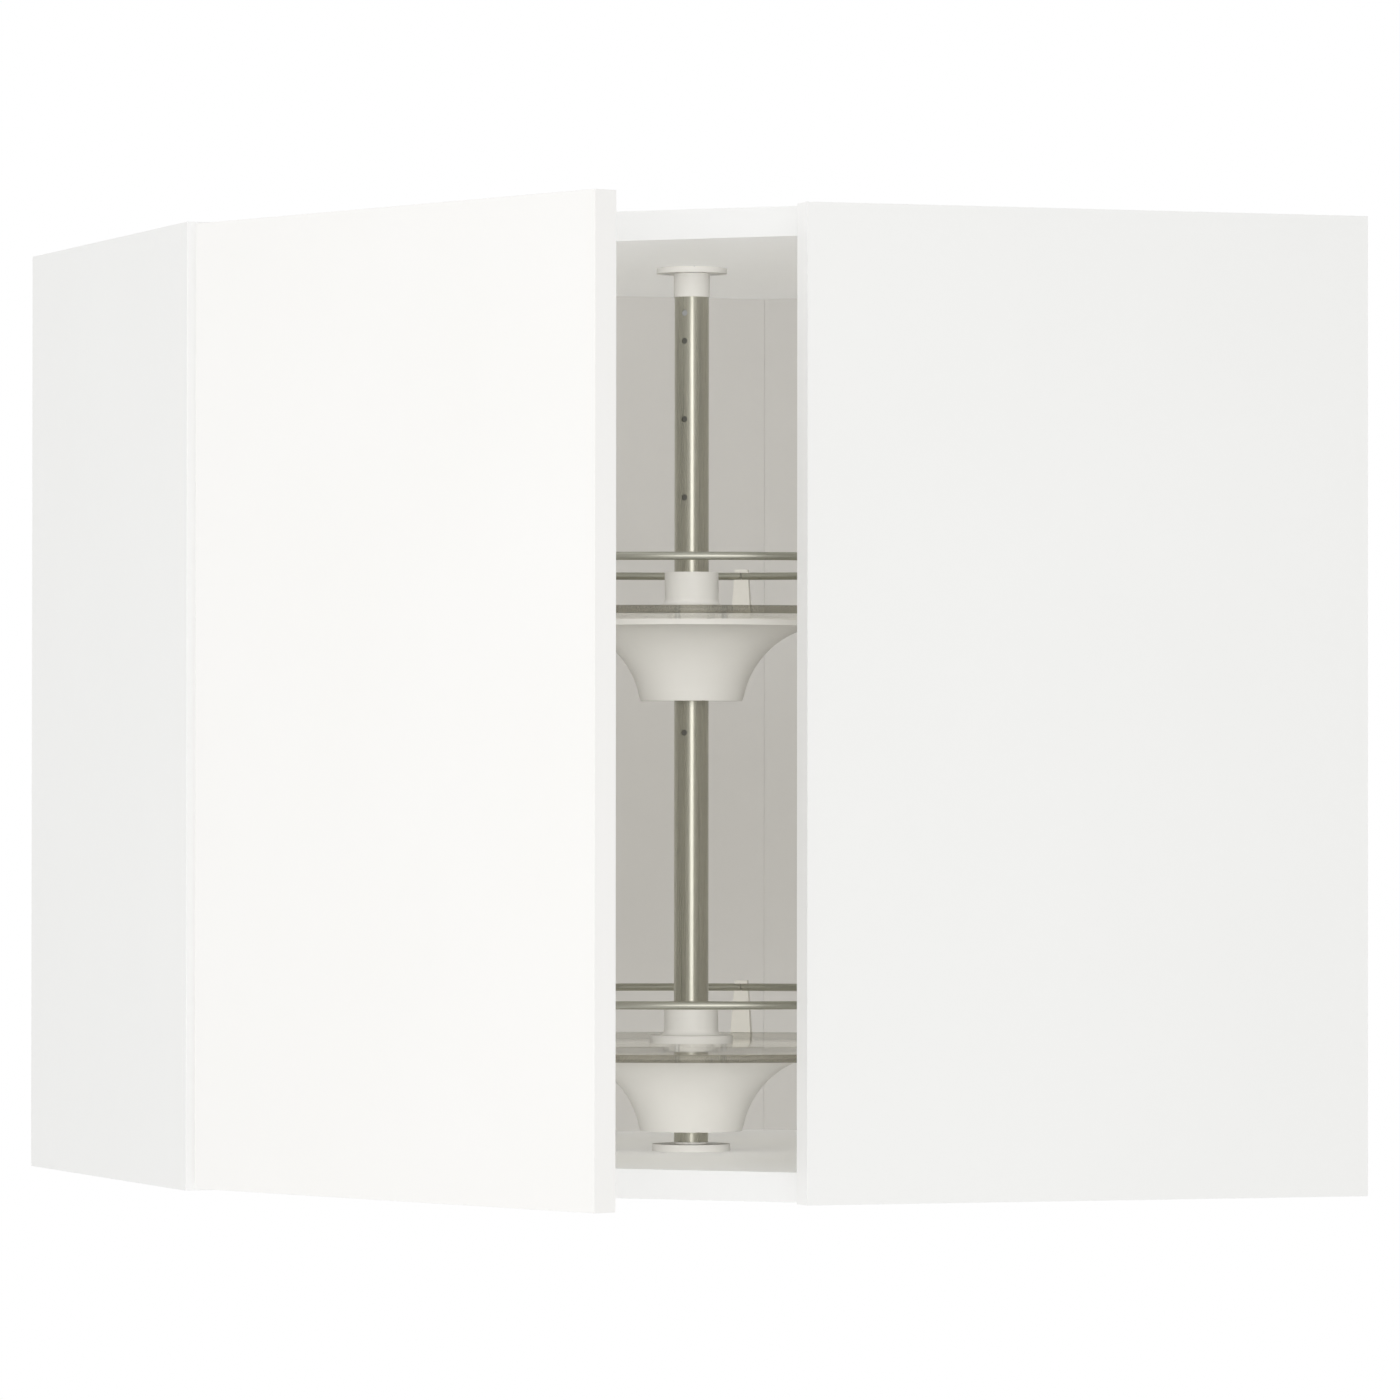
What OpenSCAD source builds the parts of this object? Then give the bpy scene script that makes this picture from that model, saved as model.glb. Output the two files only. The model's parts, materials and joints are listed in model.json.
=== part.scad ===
// Wall corner cabinet with a two-tier carousel, in millimetres.
// The carousel axis is the Z axis, the underside is z = 0 and the door faces -Y.
// Wall coordinates (a, b) run along the two room walls from the corner behind the cabinet.

/* [Carcass] */
// Length of each wall side, from the wall corner to a side panel's outer face
wall_len = 665; // [620:1:720]
// Depth of the two side panels
side_depth = 366; // [340:1:380]
// Height of the cabinet
cabinet_h = 600; // [560:1:1000]
// Thickness of the chipboard boards
board_t = 18; // [16:1:20]
// Length cut off the wall corner along each wall
corner_clip = 150; // [120:1:180]
// Thickness of the back boards
back_t = 5.8; // [3:0.1:8]
// Depth of the grooves that hold the back boards
groove_depth = 5; // [3:0.5:6]
// Distance of the grooves from the wall
groove_inset = 2; // [2:0.5:6]
// Setback of the top and bottom boards behind the door plane
front_setback = 18; // [17:0.5:24]

/* [Door] */
// Thickness of the door
door_t = 16; // [14:0.5:16]
// Gap between the door and each side panel
door_gap = 2.2; // [2:0.1:3]
// Gap above and below the door
door_end_gap = 1.5; // [1:0.5:3]
// Angle that the door stands open
door_rest = 25; // [5:1:60]
// Distance of the pivot to the left of the side panel's inner front corner
pivot_left = 34.4; // [33.9:0.1:34.5]
// Distance of the pivot behind the door plane
pivot_back = 10.1; // [9.5:0.1:10.2]

/* [Hinges] */
// Height of the hinges from the door's ends
hinge_inset = 88; // [70:1:140]
// Diameter of the hinge cups
cup_d = 35; // [35:1:40]
// Depth of the hinge cups
cup_depth = 12; // [11:0.5:12.5]
// Distance of the cup's rim from the door's edge
cup_edge = 4.5; // [4:0.5:7]
// Gap between a curved hinge arm and its cup's wall
arm_gap = 4.35; // [3.5:0.05:6]
// Thickness of the curved hinge arms
arm_t = 3; // [2:0.5:3.5]
// Height of the curved hinge arms
arm_h = 12; // [8:1:14]
// Total opening angle of the door
door_travel = 90; // [80:1:90]

/* [Carousel] */
// Distance of the carousel axis from each wall
axis_to_wall = 315; // [310:1:320]
// Outer diameter of the post
post_d = 22; // [20:0.5:25]
// Wall of the post
post_wall = 1; // [0.8:0.1:1.5]
// Radius of the glass shelves
shelf_r = 250; // [230:1:250]
// Thickness of the glass shelves
shelf_t = 5; // [4:0.5:6]
// Height of the lower shelf's top face above the underside
lower_top = 86.8; // [80:0.1:100]
// Height of the upper shelf's top face above the underside
upper_top = 361; // [300:0.1:400]
// Diameter of the rail rods
rail_d = 5; // [4:0.5:6]
// Height of a rail's centre above its shelf
rail_h = 30; // [25:1:45]
// Distance of a rail's centre inside the shelf's edge
rail_inset = 5; // [4.5:0.5:7]
// Number of rail supports on a shelf
support_count = 5; // [3:1:8]
// Direction of the first rail support
support_angle = 107.6; // [100:0.1:110]
// Running clearance of the turning parts on the post
run_clear = 0.06; // [0.05:0.01:0.1]

/* [Cones and hubs] */
// Radius of a cone's foot
foot_r = 33; // [30:0.5:36]
// Radius of a cone's rim
rim_r = 80; // [78:0.5:84]
// Height of a cone from its foot to the glass
cone_h = 51; // [50:0.5:56]
// Height of a cone's rim band
rim_h = 3.5; // [3:0.5:4]
// Wall of a cone
cone_wall = 2.6; // [2:0.1:3.5]
// Radius of a hub's flange
flange_r = 26.5; // [26:0.5:30]
// Height of a hub's flange
flange_h = 4.9; // [4:0.1:6]
// Radius of a hub's collar
collar_r = 17.2; // [16.5:0.1:18]
// Height of a hub above the glass
hub_h = 26.3; // [22:0.1:30]

/* [End fittings] */
// Diameter of the floor plate
floor_plate_d = 50; // [46:1:60]
// Thickness of the floor plate
floor_plate_t = 4.5; // [3:0.5:6]
// Diameter of the ceiling flange
ceiling_plate_d = 45; // [42:1:56]
// Thickness of the ceiling flange
ceiling_plate_t = 3.3; // [3:0.1:5]
// Diameter of the ceiling fitting's neck
neck_d = 23; // [22.5:0.5:26]
// Length of the ceiling fitting's neck
neck_h = 15; // [10:0.5:20]

/* [Hidden] */
$fn = 96;
eps = 0.01;            // overshoot of a cut
fit = 0.05;            // radial clearance of a pin in its hole
slack = 0.1;           // gap between faces that meet without a fit
white = [0.95, 0.95, 0.94];
door_white = [0.98, 0.98, 0.96];
inside_white = [0.86, 0.86, 0.84];
plastic = [0.93, 0.92, 0.89];
steel = [0.62, 0.61, 0.55];
zinc = [0.72, 0.73, 0.74];
timber = [0.80, 0.66, 0.46];
glass = [0.72, 0.80, 0.74, 0.45];

// Carcass
inner_a = wall_len - board_t;                       // a of the left side panel's inner face
ceiling_z = cabinet_h - board_t;
front_sum = inner_a + side_depth;                   // a + b on the door plane
corner_x = (side_depth - inner_a) / sqrt(2);        // left side panel's inner front corner
plane_y = axis_to_wall * sqrt(2) - front_sum / sqrt(2);
back_face = groove_inset + back_t;                  // inner face of the back boards
groove_w = back_t + 2 * slack;

// Door and hinge pivot
door_w = -2 * corner_x - 2 * door_gap;
door_h = cabinet_h - 2 * door_end_gap;
door_x = corner_x + door_gap;
pivot = [corner_x - pivot_left, plane_y + pivot_back, 0];
echo(pivot = pivot);

// Shelves
ring_h = 9;
washer_t = 1;
pin_d = 3.9;
pin_len = 31;
ring_r = 16;
bore_r = post_d / 2 + run_clear;
post_bore_r = post_d / 2 - post_wall;
cone_foot_upper = upper_top - shelf_t - cone_h;
cone_foot_lower = lower_top - shelf_t - cone_h;
pin_up = 29.8;                                      // fixing pin's height above a cone's foot
hole_pitch = 50;
upper_pin_z = cone_foot_upper + pin_up;
lower_pin_z = cone_foot_lower + pin_up;
sleeve_r = 15;
sleeve_z = pin_up + ring_h / 2 + washer_t + 2 * slack;
boss_r = 14.8;
glass_bore_r = 15;
glass_edge = 0.6;                                   // ground edge of the glass
flare_top = cone_h - rim_h;                         // height at which the flare meets the rim
flare_r = flare_top + 0.6;
flare_draft = 0.12;
rim_step = 0.77;                                    // the flare ends this far inside the rim
flare_steps = 16;
foot_round = 1.2;
rim_edge = 0.5;
rail_r = shelf_r - rail_inset;
hub_screw_r = 21;
hub_screw_d = 3.5;
spigot_len = 24;
boss_up = 1.2;                                      // seat of the post above the floor plate
post_z0 = board_t + floor_plate_t + boss_up;
ceiling_pad = 0.7;
neck_z = ceiling_z - ceiling_pad - ceiling_plate_t - neck_h;
lock_drop = 10.4;                                   // lock screw's height below the neck
lock_z = neck_z - lock_drop;
set_holes = [for (i = [-1:4]) upper_pin_z + i * hole_pitch];
plate_screw_r = 17.5;

// Frames
module wall_frame() translate([0, axis_to_wall * sqrt(2), 0]) rotate([0, 0, 225]) children();
module swap_walls() mirror([1, -1, 0]) children();
module both_walls() { children(); swap_walls() children(); }
module about_pivot(angle) translate(pivot) rotate([0, 0, -angle]) translate(-pivot) children();
module door_frame() about_pivot(door_rest) translate([door_x, plane_y, door_end_gap]) children();
module at_hinges() for (z = [hinge_inset, door_h - hinge_inset]) translate([0, 0, z]) children();

function mitre(o) = [corner_clip + o * (sqrt(2) - 1), o];
function flip(p) = [p[1], p[0]];
function arc_rise(z) = flare_r - sqrt(pow(flare_r, 2) - pow(z, 2));
function flare(z) = foot_r + flare_draft * z
    + (rim_r - rim_step - foot_r - flare_draft * flare_top) * arc_rise(z) / arc_rise(flare_top);

// Fasteners
module screw(d, len, head_d, head_h) {
    // A pan head on +Z above z = 0 and a shank below it
    translate([0, 0, -len]) cylinder(d = d, h = len);
    difference() {
        cylinder(d1 = head_d, d2 = head_d * 0.8, h = head_h);
        for (turn = [0, 90]) rotate([0, 0, turn])
            translate([-head_d * 0.28, -head_d * 0.06, head_h * 0.45])
                cube([head_d * 0.56, head_d * 0.12, head_h]);
    }
}
module drill(d, depth) translate([0, 0, -depth]) cylinder(d = d + 2 * fit, h = depth + eps);

// Dowels and cam bolts lie along the a axis, through the joint at inner_a
dowel_d = 8;
dowel_in_side = 10;
dowel_in_board = 20;
dowel_rear = 60;
dowel_front = 66;
dowel_b = [dowel_rear, side_depth - dowel_front];
bolt_d = 6;
bolt_head_d = 7.5;
bolt_head_h = 2;
hole_spare = 0.5;                                   // extra depth of a blind hole
cam_d = 15;
cam_h = 12;
cam_slot = [8, 1.6, 1.5];
cam_back = 24;
cam_setback = 0.3;                                  // cam's distance behind the board's face
bolt_rear = 110;
bolt_front = 116;
bolt_b = [bolt_rear, side_depth - bolt_front];
joint_z = [board_t / 2, cabinet_h - board_t / 2];

module along_a() rotate([0, 90, 0]) children();
module at_dowels() for (z = joint_z, b = dowel_b) translate([inner_a, b, z]) children();
module at_bolts() for (z = joint_z, b = bolt_b) translate([inner_a, b, z]) children();
module dowel(grow = 0) along_a()
    translate([0, 0, -dowel_in_board - grow])
        cylinder(d = dowel_d + (grow > 0 ? 2 * fit : 0), h = dowel_in_board + dowel_in_side + 2 * grow);
module bolt(grow = 0) along_a() {
    translate([0, 0, -cam_back - grow])
        cylinder(d = bolt_d + (grow > 0 ? 2 * fit : 0), h = cam_back + dowel_in_side + 2 * grow);
    if (grow == 0) translate([0, 0, -cam_back]) cylinder(d = bolt_head_d, h = bolt_head_h);
}
module joint_holes() wall_frame() both_walls() {
    at_dowels() dowel(hole_spare);
    at_bolts() bolt(hole_spare);
}

// Hanging brackets sit in the two rear top corners
bracket_t = 2;
bracket_w = 45;
bracket_h = 60;
bracket_top = ceiling_z - 12;
bracket_screw_len = 12;
bracket_screw_b = [25, 47];
bracket_screw_down = 30;
bracket_leg = 60;
rail_bolt_r = 4.5;
bracket_screw_d = 4;
bracket_b = back_face + slack;
rail_bolt_in = 28;
rail_bolt_down = 25;
rail_bolt_a = inner_a - rail_bolt_in;
rail_bolt_z = bracket_top - rail_bolt_down;
module at_bracket_screws()
    for (b = bracket_screw_b)
        translate([inner_a - bracket_t, bracket_b + b, bracket_top - bracket_screw_down])
            rotate([0, -90, 0]) children();

// Side panels
module side_blank() difference() {
    translate([inner_a, 0, 0]) cube([board_t, side_depth, cabinet_h]);
    translate([inner_a - eps, groove_inset - slack, -eps])
        cube([groove_depth + eps, groove_w, cabinet_h + 2 * eps]);
    at_bracket_screws() drill(bracket_screw_d, bracket_t + bracket_screw_len + hole_spare);
}
module left_side_panel() color(white) difference() {
    wall_frame() side_blank();
    joint_holes();
    at_hinge_plates() at_plate_screws() drill(plate_screw_d, plate_screw_len + hole_spare);
}
module right_side_panel() color(white) difference() {
    wall_frame() swap_walls() side_blank();
    joint_holes();
}

// Top and bottom boards
module board_outline() {
    front_edge = front_sum - front_setback * sqrt(2);
    corner = [inner_a, front_edge - inner_a];
    polygon([mitre(0), [inner_a, 0], corner, flip(corner), [0, inner_a], flip(mitre(0))]);
}
module groove_outline() {
    o0 = groove_inset - slack;
    o1 = groove_inset + back_t + slack;
    a1 = inner_a + eps;
    polygon([[a1, o0], mitre(o0), flip(mitre(o0)), [o0, a1], [o1, a1], flip(mitre(o1)), mitre(o1),
        [a1, o1]]);
}
module at_cams() for (b = bolt_b) translate([inner_a - cam_back, b, 0]) children();
module bottom_board() color(inside_white) difference() {
    wall_frame() difference() {
        linear_extrude(board_t) board_outline();
        translate([0, 0, board_t - groove_depth]) linear_extrude(groove_depth + eps) groove_outline();
        both_walls() at_cams() translate([0, 0, -eps])
            cylinder(d = cam_d + 2 * fit, h = cam_h + cam_setback + hole_spare + eps);
    }
    joint_holes();
    at_plate_screws_floor() drill(plate_wood_d, plate_wood_len + hole_spare);
}
module top_board() color(inside_white) difference() {
    wall_frame() translate([0, 0, ceiling_z]) difference() {
        linear_extrude(board_t) board_outline();
        translate([0, 0, -eps]) linear_extrude(groove_depth + eps) groove_outline();
        both_walls() at_cams()
            translate([0, 0, board_t - cam_h - cam_setback - hole_spare])
                cylinder(d = cam_d + 2 * fit, h = cam_h + cam_setback + hole_spare + eps);
    }
    joint_holes();
    at_plate_screws_ceiling() drill(plate_wood_d, plate_wood_len + hole_spare);
}

// Back boards stand in the grooves
back_z0 = board_t - groove_depth + slack;
back_h = ceiling_z - board_t + 2 * groove_depth - 2 * slack;
module left_back() difference() {
    translate([0, 0, back_z0]) linear_extrude(back_h)
        polygon([mitre(groove_inset) + [slack, 0], [inner_a + groove_depth - slack, groove_inset],
            [inner_a + groove_depth - slack, back_face], mitre(back_face) + [slack, 0]]);
    translate([rail_bolt_a, -1, rail_bolt_z]) rotate([-90, 0, 0])
        cylinder(r = rail_bolt_r, h = back_face + 2);
}
module left_back_board() color(inside_white) wall_frame() left_back();
module right_back_board() color(inside_white) wall_frame() swap_walls() left_back();
module corner_back_board() color(inside_white) wall_frame()
    translate([0, 0, back_z0]) linear_extrude(back_h)
        polygon([mitre(groove_inset), mitre(back_face), flip(mitre(back_face)),
            flip(mitre(groove_inset))]);

// Joinery
module carcass_dowels() color(timber) wall_frame() both_walls() at_dowels() dowel();
module cam_bolts() color(zinc) wall_frame() both_walls() at_bolts() bolt();
module cam_discs() color(zinc) wall_frame() both_walls() at_cams() {
    translate([0, 0, cam_setback]) cam_disc();
    translate([0, 0, cabinet_h - cam_setback]) mirror([0, 0, 1]) cam_disc();
}
module cam_disc() difference() {
    cylinder(d = cam_d, h = cam_h);
    // Pocket for the bolt's head, open towards the joint
    translate([0, 0, board_t / 2 - cam_setback]) {
        rotate([0, 90, 0]) cylinder(d = bolt_head_d + 1, h = cam_d);
        sphere(d = bolt_head_d + 2);
    }
    for (turn = [0, 90]) rotate([0, 0, turn]) translate([-cam_slot.x / 2, -cam_slot.y / 2, -eps])
        cube(cam_slot);
}

// Hanging brackets
module hanging_bracket() difference() {
    union() {
        translate([inner_a - bracket_t, bracket_b, bracket_top - bracket_h])
            cube([bracket_t, bracket_leg, bracket_h]);
        translate([inner_a - bracket_w, bracket_b, bracket_top - bracket_h])
            cube([bracket_w, bracket_t, bracket_h]);
    }
    translate([rail_bolt_a, bracket_b - 1, rail_bolt_z]) rotate([-90, 0, 0])
        cylinder(r = rail_bolt_r, h = bracket_t + 2);
    at_bracket_screws() translate([0, 0, -bracket_t - 1])
        cylinder(d = bracket_screw_d + 2 * fit, h = bracket_t + 2);
}
module hanging_brackets() color(zinc) wall_frame() both_walls() hanging_bracket();
module bracket_screws() color(steel) wall_frame() both_walls()
    at_bracket_screws() screw(bracket_screw_d, bracket_t + bracket_screw_len, 2 * bracket_screw_d, 2.4);

// Post and its end fittings
plate_wood_d = 4;
plate_wood_len = 13;
module at_plate_screws_floor() for (turn = [60:120:300]) rotate([0, 0, turn])
    translate([plate_screw_r, 0, board_t]) children();
module at_plate_screws_ceiling() for (turn = [60:120:300]) rotate([0, 0, turn])
    translate([plate_screw_r, 0, ceiling_z]) mirror([0, 0, 1]) children();
module post_hole(z, r) translate([0, 0, z]) rotate([90, 0, 0])
    translate([0, 0, -post_d]) cylinder(r = r, h = 2 * post_d, $fn = 48);
module post() color(steel) difference() {
    translate([0, 0, post_z0]) difference() {
        cylinder(d = post_d, h = neck_z - post_z0);
        translate([0, 0, -eps]) cylinder(r = post_bore_r, h = neck_z);
    }
    for (z = concat(set_holes, [lower_pin_z, lock_z])) post_hole(z, pin_d / 2 + fit);
}
screw_head_d = 7;
screw_head_h = 2;
plate_edge = 1;                                     // chamfer on the plates' rims
seat_r = post_d / 2 - 0.8;                          // narrow seat that leaves a shadow gap
head_room = 0.6;
module floor_plate() color(plastic) difference() {
    translate([0, 0, board_t]) rotate_extrude() polygon([[0, 0], [floor_plate_d / 2, 0],
        [floor_plate_d / 2, floor_plate_t - plate_edge],
        [floor_plate_d / 2 - plate_edge, floor_plate_t], [seat_r, floor_plate_t],
        [seat_r, floor_plate_t + boss_up], [post_bore_r - fit, floor_plate_t + boss_up],
        [post_bore_r - fit, floor_plate_t + spigot_len], [0, floor_plate_t + spigot_len]]);
    at_plate_screws_floor() plate_screw_cut(floor_plate_t);
}
module plate_screw_cut(t) {
    translate([0, 0, -eps]) cylinder(d = plate_wood_d + 2 * fit, h = t + eps);
    translate([0, 0, t - screw_head_h]) cylinder(d = screw_head_d + head_room, h = screw_head_h + eps);
}
module ceiling_plate() color(plastic) difference() {
    translate([0, 0, ceiling_z]) mirror([0, 0, 1]) rotate_extrude() {
        z1 = ceiling_pad + ceiling_plate_t;
        pad_r = ceiling_plate_d / 2 - 3;
        polygon([[0, 0], [pad_r, 0], [pad_r, ceiling_pad],
            [ceiling_plate_d / 2, ceiling_pad], [ceiling_plate_d / 2, z1 - plate_edge],
            [ceiling_plate_d / 2 - plate_edge, z1], [neck_d / 2, z1], [neck_d / 2, z1 + neck_h],
            [post_bore_r - fit, z1 + neck_h], [post_bore_r - fit, z1 + neck_h + spigot_len],
            [0, z1 + neck_h + spigot_len]]);
    }
    at_plate_screws_ceiling() plate_screw_cut(ceiling_pad + ceiling_plate_t);
    translate([0, 0, lock_z]) rotate([90, 0, 0]) cylinder(r = pin_d / 2 + fit, h = post_d);
}
module plate_screws() color(zinc) {
    at_plate_screws_floor() translate([0, 0, floor_plate_t - screw_head_h])
        screw(plate_wood_d, plate_wood_len + floor_plate_t - screw_head_h, screw_head_d, screw_head_h);
    at_plate_screws_ceiling() translate([0, 0, ceiling_pad + ceiling_plate_t - screw_head_h])
        screw(plate_wood_d, plate_wood_len + ceiling_pad + ceiling_plate_t - screw_head_h,
            screw_head_d, screw_head_h);
}
lock_recess = 0.4;
module post_lock_screw() color(zinc) translate([0, -post_d / 2 + lock_recess, lock_z])
    rotate([-90, 0, 0]) cylinder(d = pin_d, h = post_d / 2 - 1);

// Stop rings and pins
module stop_ring(pin_z) difference() {
    translate([0, 0, pin_z - ring_h / 2]) difference() {
        cylinder(r = ring_r, h = ring_h);
        translate([0, 0, -eps]) cylinder(r = post_d / 2 + fit, h = ring_h + 2 * eps);
    }
    post_hole(pin_z, pin_d / 2 + fit);
}
module fixing_pin(pin_z) translate([0, pin_len / 2, pin_z]) rotate([90, 0, 0])
    cylinder(d = pin_d, h = pin_len);
module upper_stop_ring() color(plastic) stop_ring(upper_pin_z);
module lower_stop_ring() color(plastic) stop_ring(lower_pin_z);
module upper_fixing_pin() color(zinc) fixing_pin(upper_pin_z);
module lower_fixing_pin() color(zinc) fixing_pin(lower_pin_z);
module slip_washers() color(white) for (z = [upper_pin_z, lower_pin_z])
    translate([0, 0, z + ring_h / 2]) difference() {
        cylinder(r = ring_r, h = washer_t);
        translate([0, 0, -eps]) cylinder(r = post_d / 2 + 2 * fit, h = washer_t + 2 * eps);
    }

// Hinges: a curved arm fixed in each cup slides through a guide on the side panel, about the pivot
plate_t = 3;
plate_len = 62;
plate_h = 46;
plate_s = 8;                                        // plate's distance behind the inner front corner
plate_screw_d = 4.5;
plate_screw_len = 12;
plate_screw_s = 48;
plate_screw_gap = 32;
guide_a0 = 12;                                      // guide's angles about the pivot
guide_a1 = 24;
arm_hold = 8;                                       // angle of arm left in the guide when fully open
guide_wall = 3;
lug_t = 1.9;
lug_shift = 0.25;
lug_root = [16, 34];                                // lugs' ends along the mounting plate
lug_tip = [[4.3, 2.4], [-6.6, 0.9]];                // lugs' ends about the guide block's middle
arm_tail = guide_a0 + door_travel + arm_hold;
arm_clear = 0.15;
cup_wall = 1;
cup_flange_t = 1.2;
cup_flange_h = 62;
cup_screw_gap = 48;
cup_screw_d = 3.5;
cup_screw_len = 10;
cup_screw_x = 9.5;                                  // screws' distance from the cup's centre
arm_screw_x = 12;
cup_flange_x = [-11, 14];                           // flange's ends either side of the cup's centre
cup_x = cup_edge + cup_d / 2;                       // cup's centre from the door's edge
cup_inner_x = door_x + cup_edge + cup_wall + fit;
arm_r = cup_inner_x + arm_gap + arm_t / 2 - pivot.x; // middle radius of the curved arms
arm_foot = 3;
foot_h = arm_h - 2;
arm_start = -5;
arm_end = 3;                                        // arm's length past its screw

// The side panel's inner face, x inwards from the front corner and y into the cabinet
module panel_face() translate([corner_x, plane_y, door_end_gap]) rotate([0, 0, 135]) mirror([0, 1, 0])
    children();
module at_hinge_plates() panel_face() at_hinges() children();
module at_plate_screws() for (z = [-0.5, 0.5] * plate_screw_gap)
    translate([plate_screw_s, 0, z]) rotate([-90, 0, 0]) children();
// A plan position in the coordinates of panel_face
function to_panel(p) = let (d = p - [corner_x, plane_y]) [d.y - d.x, d.x + d.y] / sqrt(2);
guide_turn = (guide_a0 + guide_a1) / 2;
guide_mid = to_panel([pivot.x, pivot.y] + arm_r * [cos(guide_turn), sin(guide_turn)]);
// A sector of a ring about the pivot, at angles measured clockwise from +X when the door is shut
module arc_band(r0, r1, a0, a1, h) translate(pivot) rotate([0, 0, a0])
    rotate_extrude(angle = a1 - a0) translate([r0, -h / 2]) square([r1 - r0, h]);
module hinge_plate() difference() {
    translate([plate_s, 0, -plate_h / 2]) cube([plate_len, plate_t, plate_h]);
    translate([0, plate_t, 0]) at_plate_screws() translate([0, 0, -plate_t - 1])
        cylinder(d = plate_screw_d + 2 * fit, h = plate_t + 2);
}
module hinge_plates() color(zinc) at_hinge_plates() hinge_plate();
module hinge_plate_screws() color(steel) at_hinge_plates() translate([0, plate_t, 0])
    at_plate_screws() screw(plate_screw_d, plate_t + plate_screw_len, 8.5, 2.2);
module arm_shape(grow, a0, a1) arc_band(arm_r - arm_t / 2 - grow, arm_r + arm_t / 2 + grow, a0, a1,
    arm_h + 2 * grow);
module hinge_guide() difference() {
    union() {
        arc_band(arm_r - arm_t / 2 - guide_wall, arm_r + arm_t / 2 + guide_wall, guide_a0, guide_a1,
            arm_h + 2 * guide_wall);
        // Two lugs from the guide block back to the mounting plate
        for (side = [-1, 1]) translate([0, 0, side * (arm_h / 2 + guide_wall / 2 + lug_shift)])
            translate([corner_x, plane_y, 0]) rotate([0, 0, 135]) mirror([0, 1, 0])
                linear_extrude(lug_t, center = true)
                    polygon([[plate_s + lug_root[0], plate_t], [plate_s + lug_root[1], plate_t],
                        guide_mid + lug_tip[0], guide_mid + lug_tip[1]]);
    }
    arm_shape(arm_clear, guide_a0 - 5, guide_a1 + 5);
}
module hinge_guides() color(zinc) translate([0, 0, door_end_gap]) at_hinges() hinge_guide();

// Door
module door_panel() color(door_white) door_frame() difference() {
    cube([door_w, door_t, door_h]);
    at_hinges() translate([cup_x, door_t, 0]) rotate([-90, 0, 0]) {
        translate([0, 0, -cup_depth - slack]) cylinder(d = cup_d, h = cup_depth + 1);
        for (z = [-0.5, 0.5] * cup_screw_gap) translate([cup_screw_x, z, 0])
            drill(cup_screw_d, cup_screw_len + hole_spare);
    }
}
bumper_d = 8;
bumper_edge = [24, 9];                              // bumpers' distances from the free edge and the ends
bumper_t = front_setback - door_t - 0.3;
module door_bumpers() color(glass) door_frame() for (z = [bumper_edge.y, door_h - bumper_edge.y])
    translate([door_w - bumper_edge.x, door_t, z]) rotate([-90, 0, 0])
        cylinder(d = bumper_d, h = bumper_t);
module hinge_cup() difference() {
    union() {
        translate([0, 0, -cup_depth]) cylinder(d = cup_d - 2 * fit, h = cup_depth + cup_flange_t);
        translate([cup_flange_x[0], -cup_flange_h / 2, 0])
            cube([cup_flange_x[1] - cup_flange_x[0], cup_flange_h, cup_flange_t]);
    }
    translate([0, 0, -cup_depth + cup_wall])
        cylinder(d = cup_d - 2 * cup_wall - 2 * fit, h = cup_depth + cup_flange_t);
    for (z = [-0.5, 0.5] * cup_screw_gap) translate([cup_screw_x, z, -1])
        cylinder(d = cup_screw_d + 2 * fit, h = 5);
    translate([arm_screw_x, 0, -cup_depth - 1]) cylinder(d = cup_screw_d + 2 * fit, h = 3);
}
module at_cups() door_frame() at_hinges() translate([cup_x, door_t, 0]) rotate([-90, 0, 0])
    children();
module hinge_cups() color(zinc) at_cups() hinge_cup();
module hinge_cup_screws() color(steel) at_cups() for (z = [-0.5, 0.5] * cup_screw_gap)
    translate([cup_screw_x, z, cup_flange_t])
        screw(cup_screw_d, cup_flange_t + cup_screw_len, 2 * cup_screw_d, 1.8);
// Each arm starts on a foot in the cup's floor and runs round the pivot into the cabinet
foot_y = door_t - cup_depth + cup_wall + slack;
module hinge_arm() difference() {
    union() {
        arm_shape(0, arm_start, arm_tail);
        translate([pivot.x + arm_r, plane_y + foot_y, -foot_h / 2])
            cube([door_x + cup_x + arm_screw_x + arm_end - pivot.x - arm_r, arm_foot, foot_h]);
    }
    translate([door_x + cup_x + arm_screw_x, plane_y, 0]) rotate([-90, 0, 0])
        cylinder(d = cup_screw_d + 2 * fit, h = foot_y + arm_foot + 1);
}
module hinge_arms() color(zinc) about_pivot(door_rest) translate([0, 0, door_end_gap])
    at_hinges() hinge_arm();
module hinge_arm_screws() color(steel) about_pivot(door_rest) translate([0, 0, door_end_gap])
    at_hinges() translate([door_x + cup_x + arm_screw_x, plane_y + foot_y + arm_foot, 0])
        rotate([-90, 0, 0]) screw(cup_screw_d, arm_foot + cup_wall, 5.5, 1.6);

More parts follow.
